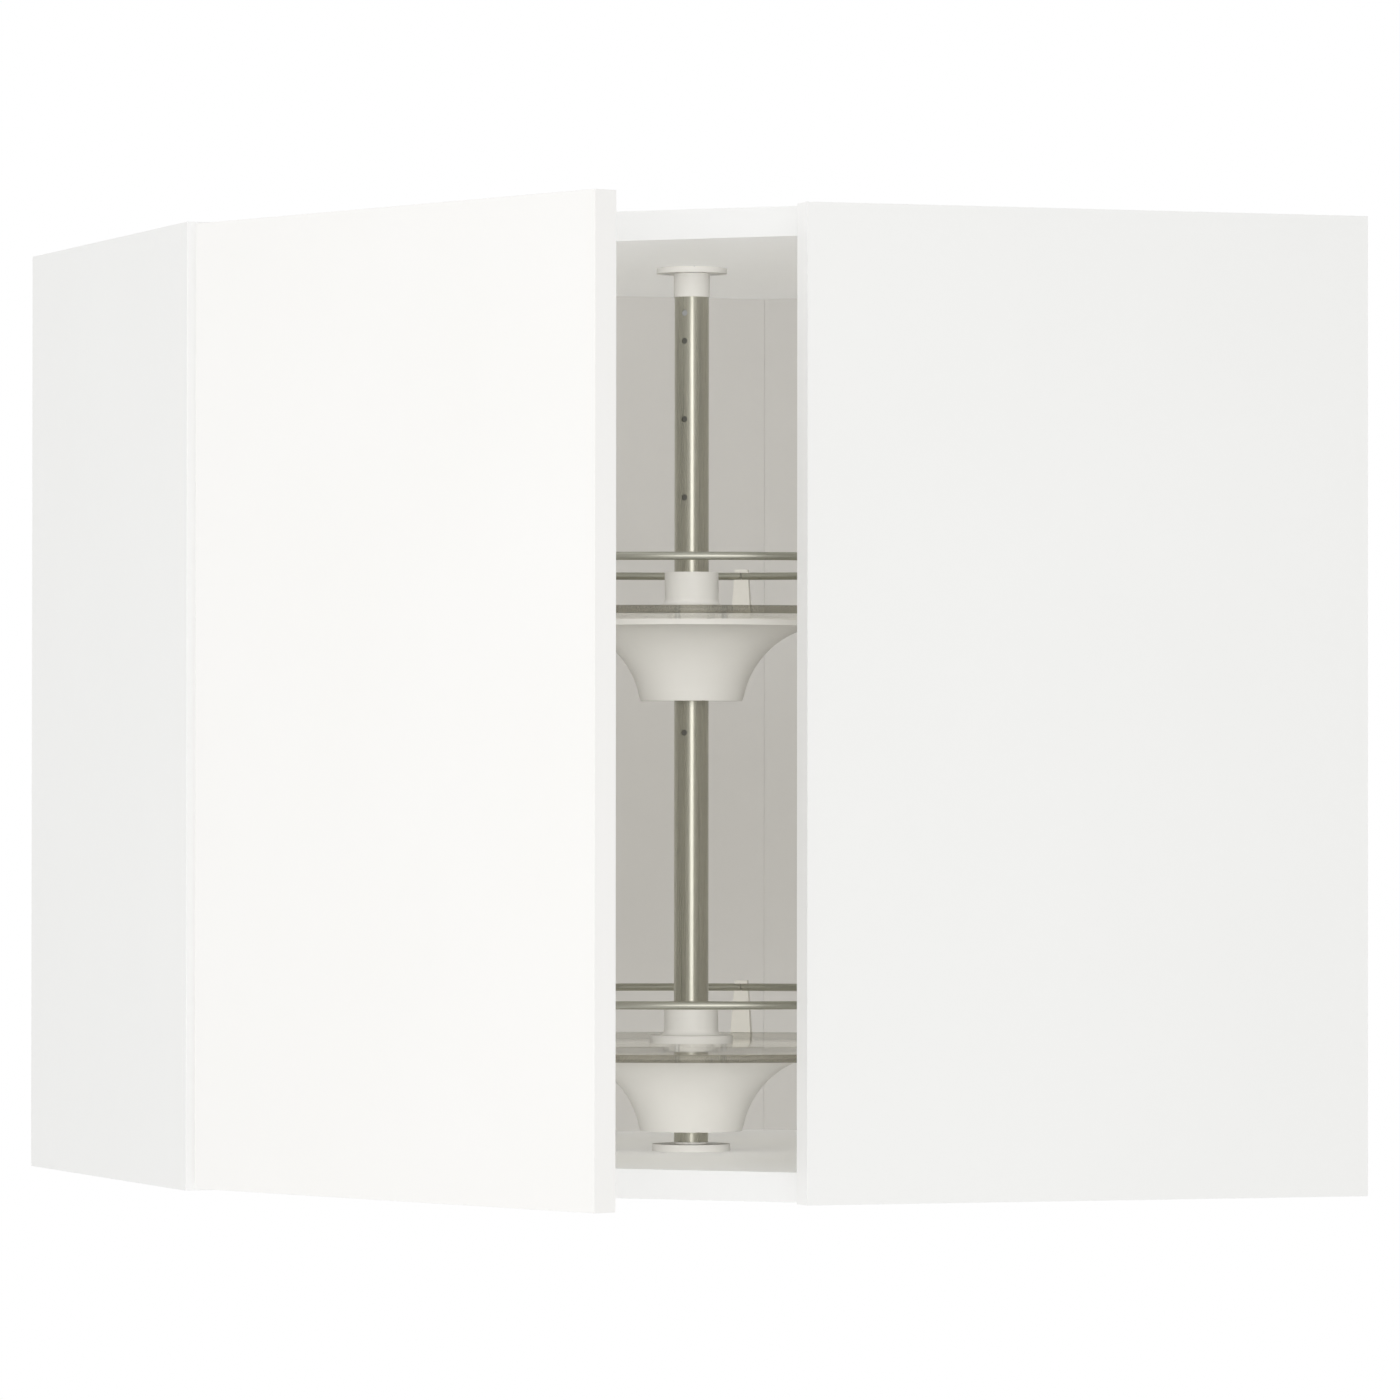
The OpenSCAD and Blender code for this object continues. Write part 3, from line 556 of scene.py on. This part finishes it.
# %% [markdown]
# The hinges, brackets and screws are stamped or cast zinc alloy. Their shapes are in the nodes, so
# they only need the small radius that tumbling leaves on such parts and the plating's finish. They
# ride on the body that their node rides on: the cups and arms with the door, the rest with the
# carcass. The fixing pins are plated like the rails, so that their ends don't stand out.

# %% Hinges, brackets and fasteners
dowel_arris = 0.5
bumper_arris = 0.6
metal_pieces = {
    "carcass": {"hanging_brackets": 0.3, "bracket_screws": 0.1, "hinge_plates": 0.3,
                "hinge_plate_screws": 0.1, "hinge_guides": 0.3, "plate_screws": 0.1,
                "cam_discs": 0.15, "cam_bolts": 0.1, "post_lock_screw": 0.2},
    "door": {"hinge_cups": 0.25, "hinge_cup_screws": 0.1, "hinge_arms": 0.3,
             "hinge_arm_screws": 0.1},
    "upper_carousel": {"upper_hub_screws": 0.1},
    "lower_carousel": {"lower_hub_screws": 0.1},
}
for body, pieces in metal_pieces.items():
    for node, radius in pieces.items():
        piece = ease(copy_node(node, f"{node}_piece"), radius * MM)
        place_piece(piece, body, "zinc_plate", zinc_plate, node)

for node in ("upper_fixing_pin", "lower_fixing_pin"):
    pin = ease(copy_node(node, f"{node}_piece"), thin_arris * MM)
    place_piece(pin, "carcass", "zinc_plate", rod_nickel, node)
dowels = ease(copy_node("carcass_dowels", "dowels"), dowel_arris * MM)
place_piece(dowels, "carcass", "beech", beech, "carcass_dowels")
bumpers = ease(copy_node("door_bumpers", "bumpers"), bumper_arris * MM, segments=4)
place_piece(bumpers, "door", "clear_bumper", clear_bumper, "door_bumpers")

# %% [markdown]
# The post is a thin tube with a row of pin holes down its front. A turned tube has far more facets
# round it than the node, so the long highlight down the plating stays unbroken. Each hole is bored
# through both walls and its rim is broken by the same small radius as the tube's ends.

# %% Post
post_radius = 11
post_bore = 10
pin_radius = 2
pin_pitch = 50
lowest_shelf_hole = 284.8
shelf_holes = [lowest_shelf_hole + pin_pitch * step for step in range(6)]
lower_pin_height = 60.6
lock_screw_height = 552.6
bore_margin = 0.2

post_low, post_high = (corner.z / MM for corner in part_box("post"))
post = turned("post_tube", [(post_bore, post_low), (post_radius, post_low),
                            (post_radius, post_high), (post_bore, post_high)], steps=192)
for height in (*shelf_holes, lower_pin_height, lock_screw_height):
    bore(post, pin_radius, 2 * post_radius, 0, 0, height, sides=48)
ease(post, thin_arris * MM, angle=40)
post.data.materials.append(satin_nickel)
post.data.materials.append(tube_bore)
for face in post.data.polygons:
    faces_in = face.normal.dot(Vector((face.center.x, face.center.y, 0))) < 0
    near_bore = face.center.xy.length < (post_bore + bore_margin) * MM
    face.material_index = int(faces_in and near_bore)
place_piece(post, "carcass", "satin_nickel", satin_nickel, "post")

# %% [markdown]
# The post stands on a moulded plate that is screwed to the floor of the cabinet, and a matching
# flange with a long neck holds its top. Both are turned shapes with a softly rounded rim and a
# spigot that fits inside the post, and each takes three screws with sunk heads.

# %% End plates
plate_radius = 25
plate_height = 4.5
seat_radius = 10.2
seat_height = 1.2
spigot_radius = 9.95
spigot_height = 24
flange_radius = 22.5
flange_height = 3.3
pad_height = 0.7
pad_radius = 19.5
neck_radius = 11.5
neck_height = 15
plate_screw_ring = 17.5
plate_screw_turns = (60, 180, 300)
plate_screw_radius = 2.05
screw_head_radius = 3.8
screw_head_depth = 2
floor_plate_arris = 0.5
ceiling_plate_arris = 0.45

floor_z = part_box("floor_plate")[0].z / MM
top = floor_z + plate_height
floor_plate = turned("floor_plate_piece", [
    (0, floor_z), (plate_radius, floor_z), (plate_radius, top), (seat_radius, top),
    (seat_radius, top + seat_height), (spigot_radius, top + seat_height),
    (spigot_radius, top + spigot_height), (0, top + spigot_height)])
drill_ring(floor_plate, plate_screw_ring, plate_screw_turns, plate_screw_radius,
           floor_z - 1, top + 1)
drill_ring(floor_plate, plate_screw_ring, plate_screw_turns, screw_head_radius,
           top - screw_head_depth, top + 1)
ease(floor_plate, floor_plate_arris * MM, segments=3)
place_piece(floor_plate, "carcass", "white_plastic", white_plastic, "floor_plate")

ceiling_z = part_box("ceiling_plate")[1].z / MM
rim = ceiling_z - pad_height
under = rim - flange_height
neck = under - neck_height
ceiling_plate = turned("ceiling_plate_piece", [
    (0, neck - spigot_height), (spigot_radius, neck - spigot_height), (spigot_radius, neck),
    (neck_radius, neck), (neck_radius, under), (flange_radius, under), (flange_radius, rim),
    (pad_radius, rim), (pad_radius, ceiling_z), (0, ceiling_z)])
drill_ring(ceiling_plate, plate_screw_ring, plate_screw_turns, plate_screw_radius,
           under - 1, ceiling_z + 1)
drill_ring(ceiling_plate, plate_screw_ring, plate_screw_turns, screw_head_radius,
           under - 1, under + screw_head_depth)
ease(ceiling_plate, ceiling_plate_arris * MM, segments=3)
place_piece(ceiling_plate, "carcass", "white_plastic", white_plastic, "ceiling_plate")

for node in ("upper_stop_ring", "lower_stop_ring", "slip_washers"):
    ring = ease(copy_node(node, f"{node}_piece"), thin_arris * MM)
    place_piece(ring, "carcass", "white_plastic", white_plastic, node)

# %% [markdown]
# Each shelf is clamped between a hub on top and a flared cone below. The cone is one moulding: a
# thin wall that sweeps out in an arc to a short upright rim, a top disc under the glass, and a
# sleeve round the post that six ribs tie to the wall. All of it is one turned profile with the ribs
# joined on, and the same function makes both tiers.

# %% Cones
foot_radius = 33
flare_arc = 48.1
flare_draft = 0.12
foot_chamfer = 0.6
rim_radius = 80
cone_height = 51
rim_height = 3.5
cone_wall = 2.6
sleeve_radius = 15
sleeve_height = 35.5
bore_radius = 11.06
rib_thickness = 2
rib_overlap = 0.8
cone_arris = 0.35
hub_screw_ring = 21
hub_screw_turns = (30, 150, 270)
hub_screw_radius = 1.8
hub_screw_depth = 2
flare_steps = 24


def flare(height):
    """The cone's outer radius at a height above its foot."""
    return foot_radius + flare_draft * height + flare_arc - math.sqrt(flare_arc ** 2 - height ** 2)


def make_cone(tier):
    """One tier's cone: the turned moulding, its six ribs and its screw holes."""
    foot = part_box(f"{tier}_cone")[0].z / MM
    disc = cone_height - rim_height
    turns = [math.pi / 2 * step / flare_steps for step in range(flare_steps + 1)]
    heights = [disc * math.sin(turn) for turn in turns]
    outside = [(min(flare(z), rim_radius), z) for z in heights[1:]]
    inside = [(flare(z) - cone_wall, z) for z in reversed(heights)]
    profile = [(foot_radius - foot_chamfer, 0), *outside,
               (rim_radius, disc), (rim_radius, cone_height), (bore_radius, cone_height),
               (bore_radius, sleeve_height), (sleeve_radius, sleeve_height),
               (sleeve_radius, disc), *inside]
    cone = turned(f"{tier}_cone_piece", [(r, foot + z) for r, z in profile], steps=144)
    rib_end = flare(sleeve_height) - cone_wall + rib_overlap
    rib_length = rib_end - sleeve_radius + rib_overlap
    rib_middle = (rib_end + sleeve_radius - rib_overlap) / 2
    rib_height = disc - sleeve_height + rib_overlap
    rib_level = foot + (disc + sleeve_height + rib_overlap) / 2
    for turn in range(0, 360, 60):
        bpy.ops.mesh.primitive_cube_add(size=MM, scale=(rib_length, rib_thickness, rib_height),
                                        location=(rib_middle * MM, 0, rib_level * MM))
        rib = settle(bpy.context.object)
        rib.rotation_euler.z = math.radians(turn)
        apply(cone, "BOOLEAN", object=settle(rib), operation="UNION", solver="EXACT")
        bpy.data.objects.remove(rib)
    drill_ring(cone, hub_screw_ring, hub_screw_turns, hub_screw_radius,
               foot + disc - hub_screw_depth, foot + cone_height + 1)
    ease(cone, cone_arris * MM, angle=35)
    place_piece(cone, f"{tier}_carousel", "white_plastic", white_plastic, f"{tier}_cone")


for tier in ("upper", "lower"):
    make_cone(tier)

# %% [markdown]
# The hub is a collar on a round flange, with a generous fillet between them. Its boss drops through
# the hole in the glass. The fillet is a quarter circle drawn into the profile before it is spun.

# %% Hubs
hub_flange_radius = 26.5
hub_flange_height = 4.9
collar_radius = 17.2
hub_height = 26.3
hub_fillet = 4
boss_radius = 14.8
boss_depth = 4.9
hub_screw_cover = 0.7
hub_arris = 0.7


def quarter_arc(centre, radius, start, steps=8):
    """Points of a quarter circle, clockwise from the start angle in degrees."""
    turns = [math.radians(start - 90 * step / steps) for step in range(steps + 1)]
    return [(centre[0] + radius * math.cos(t), centre[1] + radius * math.sin(t)) for t in turns]


def make_hub(tier):
    """One tier's hub, with the holes for its three screws."""
    glass_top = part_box(f"{tier}_shelf")[1].z / MM
    fillet_centre = (collar_radius + hub_fillet, hub_flange_height + hub_fillet)
    fillet = quarter_arc(fillet_centre, hub_fillet, 270)
    profile = [(bore_radius, -boss_depth), (boss_radius, -boss_depth), (boss_radius, 0),
               (hub_flange_radius, 0), (hub_flange_radius, hub_flange_height), *fillet,
               (collar_radius, hub_height), (bore_radius, hub_height)]
    hub = turned(f"{tier}_hub_piece", [(r, glass_top + z) for r, z in profile], steps=144)
    drill_ring(hub, hub_screw_ring, hub_screw_turns, hub_screw_radius,
               glass_top - 1, glass_top + hub_flange_height - hub_screw_cover)
    ease(hub, hub_arris * MM, segments=4, angle=40)
    place_piece(hub, f"{tier}_carousel", "white_plastic", white_plastic, f"{tier}_hub")


for tier in ("upper", "lower"):
    make_hub(tier)

# %% [markdown]
# The glass is a plain round plate with a pencil edge, ground to a flat half round and polished.
# Its edge is where all the light inside the glass comes out, so the round matters more than its
# size suggests. The hub's screws pass through small holes that the flange hides.

# %% Glass shelves
edge_radius = 2.2
edge_margin = 0.1
level_face = 0.99
glass_bore = 15
glass_hole_radius = 2.25


def make_shelf(tier):
    """One tier's glass, with the light that comes out of its edge as a finish of its own."""
    low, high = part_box(f"{tier}_shelf")
    radius, bottom, top = high.x / MM, low.z / MM, high.z / MM
    upper_arc = quarter_arc((radius - edge_radius, top - edge_radius), edge_radius, 90, 5)
    lower_arc = quarter_arc((radius - edge_radius, bottom + edge_radius), edge_radius, 0, 5)
    profile = [(glass_bore, bottom), (glass_bore, top), *upper_arc, *lower_arc]
    shelf = turned(f"{tier}_shelf_piece", profile, steps=256)
    drill_ring(shelf, hub_screw_ring, hub_screw_turns, glass_hole_radius, bottom - 1, top + 1)
    choose(shelf)
    bpy.ops.object.shade_smooth_by_angle(angle=math.radians(30))
    shelf.data.materials.append(shelf_glass)
    shelf.data.materials.append(shelf_edge)
    for face in shelf.data.polygons:
        on_rim = face.center.xy.length > (radius - edge_radius - edge_margin) * MM
        face.material_index = int(on_rim and abs(face.normal.z) < level_face)
    place_piece(shelf, f"{tier}_carousel", "shelf_glass", shelf_glass, f"{tier}_shelf")


for tier in ("upper", "lower"):
    make_shelf(tier)

# %% [markdown]
# A round rod rings each shelf so that nothing slides off. It is bent from one length, and its two
# ends meet inside one of the clips with a hairline gap. A filled circle spun almost a whole turn
# round the post leaves that gap by itself.

# %% Rails
rod_radius = 2.5
rail_circle = 245
clip_arris = 0.35
end_gap = math.radians(0.1)
first_clip = math.radians(107.6)


def make_rail(tier):
    """One tier's rod, bent to a ring whose ends meet at the first clip."""
    low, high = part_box(f"{tier}_rail")
    bpy.ops.mesh.primitive_circle_add(vertices=24, radius=rod_radius * MM, fill_type="NGON",
                                      rotation=(math.pi / 2, 0, 0),
                                      location=(rail_circle * MM, 0, (low.z + high.z) / 2))
    rail = settle(bpy.context.object)
    rail.name = f"{tier}_rail_piece"
    choose(rail)
    bpy.ops.object.mode_set(mode="EDIT")
    bpy.ops.mesh.select_all(action="SELECT")
    bpy.ops.mesh.spin(steps=255, angle=2 * math.pi - end_gap, center=(0, 0, 0), axis=(0, 0, 1))
    bpy.ops.mesh.select_all(action="SELECT")
    bpy.ops.mesh.normals_make_consistent(inside=False)
    bpy.ops.object.mode_set(mode="OBJECT")
    rail.rotation_euler.z = first_clip - end_gap / 2
    settle(rail)
    ease(rail, thin_arris * MM, angle=60)
    place_piece(rail, f"{tier}_carousel", "satin_nickel", rod_nickel, f"{tier}_rail")


for tier in ("upper", "lower"):
    make_rail(tier)
    clips = copy_node(f"{tier}_rail_supports", f"{tier}_rail_clips")
    ease(clips, clip_arris * MM, angle=40)
    place_piece(clips, f"{tier}_carousel", "white_plastic", clip_plastic, f"{tier}_rail_supports")

# %% [markdown]
# The photograph shows the cabinet against plain white with no shadow that reaches it, as it hangs
# well above any floor. So the pale floor lies a good way below the cabinet, where it takes a soft
# shadow in the views from above and stays out of the photographed frame. Towards its rim it fades
# into the white of the room, as a paper sweep does.

# %% Floor
floor_drop = 0.7
floor_reach = 3.2
shadow_reach = 1.2
least_paper = 0.4

bpy.ops.mesh.primitive_circle_add(vertices=96, radius=floor_reach, fill_type="NGON",
                                  location=(0, 0, -floor_drop))
floor = settle(bpy.context.object)
floor.name = "studio_floor"
floor_finish, floor_shader = new_finish("studio_floor", tone(250, 250, 250), 0.9)
raise_grain(floor_finish, floor_shader, grain(floor_finish, 6), 0.05)
floor.data.materials.append(floor_finish)

tree = floor_finish.node_tree
place = tree.nodes.new("ShaderNodeTexCoord")
distance = tree.nodes.new("ShaderNodeVectorMath")
distance.operation = "LENGTH"
fade = tree.nodes.new("ShaderNodeMapRange")
fade.inputs["From Min"].default_value = shadow_reach
fade.inputs["From Max"].default_value = floor_reach
fade.inputs["To Min"].default_value = least_paper
fade.inputs["To Max"].default_value = 1
share = tree.nodes.new("ShaderNodeMath")
share.operation = "MULTIPLY"
paper = tree.nodes.new("ShaderNodeEmission")
tree.links.new(place.outputs["Object"], distance.inputs[0])
tree.links.new(distance.outputs["Value"], fade.inputs["Value"])
tree.links.new(fade.outputs["Result"], share.inputs[0])
tree.links.new(seen_rays(tree), share.inputs[1])
blend(tree, share.outputs[0], floor_shader, paper, "Material Output")

# %% [markdown]
# The light is that of a white studio: an even glow from all round and a large soft lamp high at
# the front left. Whatever the camera, a polished surface or a glass sees of the room is plain
# white. The photograph has hardly a shadow on it, as white walls near the cabinet would give, so
# two broad fills without shadows stand in for those walls. Of the lamps without shadows only the
# right fill shows in a reflection, as the bright line down the post.
#
# Light that bounces about inside such a white box takes many bounces to come out right. Five small
# lamps stand in for it. Each is linked to the pieces that it lights, so nothing else is changed by
# it, and each stands well away from them, so no spot burns out when the door or a shelf turns.

# %% Light
room_glow = 0.66
linked_lamp_size = 0.2
right_stand = (1.27, -2.7, 0.3)
left_stand = (-2.4, -2.4, 0.35)
middle = (cad_low + cad_high) / 2

scene = bpy.context.scene
world = bpy.data.worlds.new("white_studio")
scene.world = world
world.use_nodes = True
tree = world.node_tree
glow = tree.nodes["Background"]
glow.inputs["Color"].default_value = (1, 1, 1, 1)
glow.inputs["Strength"].default_value = room_glow
white = tree.nodes.new("ShaderNodeBackground")
white.inputs["Color"].default_value = (1, 1, 1, 1)
white.inputs["Strength"].default_value = 1
blend(tree, seen_rays(tree), glow, white, "World Output")


def soft_lamp(name, place, size, power):
    """A square soft box at a place, turned to the cabinet's middle."""
    bpy.ops.object.light_add(type="AREA", location=place)
    lamp = bpy.context.object
    lamp.name = name
    lamp.data.shape = "SQUARE"
    lamp.data.size = size
    lamp.data.energy = power
    lamp.rotation_euler = (middle - Vector(place)).to_track_quat("-Z", "Y").to_euler()
    return lamp


def linked_lamp(name, place, power, pieces):
    """A small lamp that lights these pieces only."""
    lamp = soft_lamp(name, place, linked_lamp_size, power)
    lit = bpy.data.collections.new(name)
    for piece in pieces:
        lit.objects.link(bpy.data.objects[piece])
    lamp.light_linking.receiver_collection = lit
    return lamp


soft_lamp("front_softbox", (-1.6, -2.9, 2.4), 2.2, 12)
right_fill = soft_lamp("right_fill", (1.6, -2.8, 0.35), 2.0, 24)
left_fill = soft_lamp("left_fill", left_stand, 2.0, 12)
plastics = {white_plastic, clip_plastic}
mouldings = [piece.name for piece in scene.objects
             if piece.type == "MESH" and plastics & set(piece.data.materials)]
backs = [f"{board}_back_board_piece" for board in ("left", "right", "corner")]
linked_fills = [
    linked_lamp("ceiling_fill", (0, -0.25, -0.3), 2.6, ["top_board_piece"]),
    linked_lamp("bottom_fill", (0, -0.25, 0.9), 2.3, ["bottom_board_piece"]),
    linked_lamp("back_fill", right_stand, 9.5, backs),
    linked_lamp("carousel_fill", right_stand, 37, mouldings),
    linked_lamp("edge_fill", left_stand, 14, ["right_side_panel_piece"])]
for lamp in (right_fill, left_fill, *linked_fills):
    lamp.data.use_shadow = False
    lamp.visible_camera = False
    lamp.visible_glossy = lamp is right_fill
    lamp.visible_transmission = False
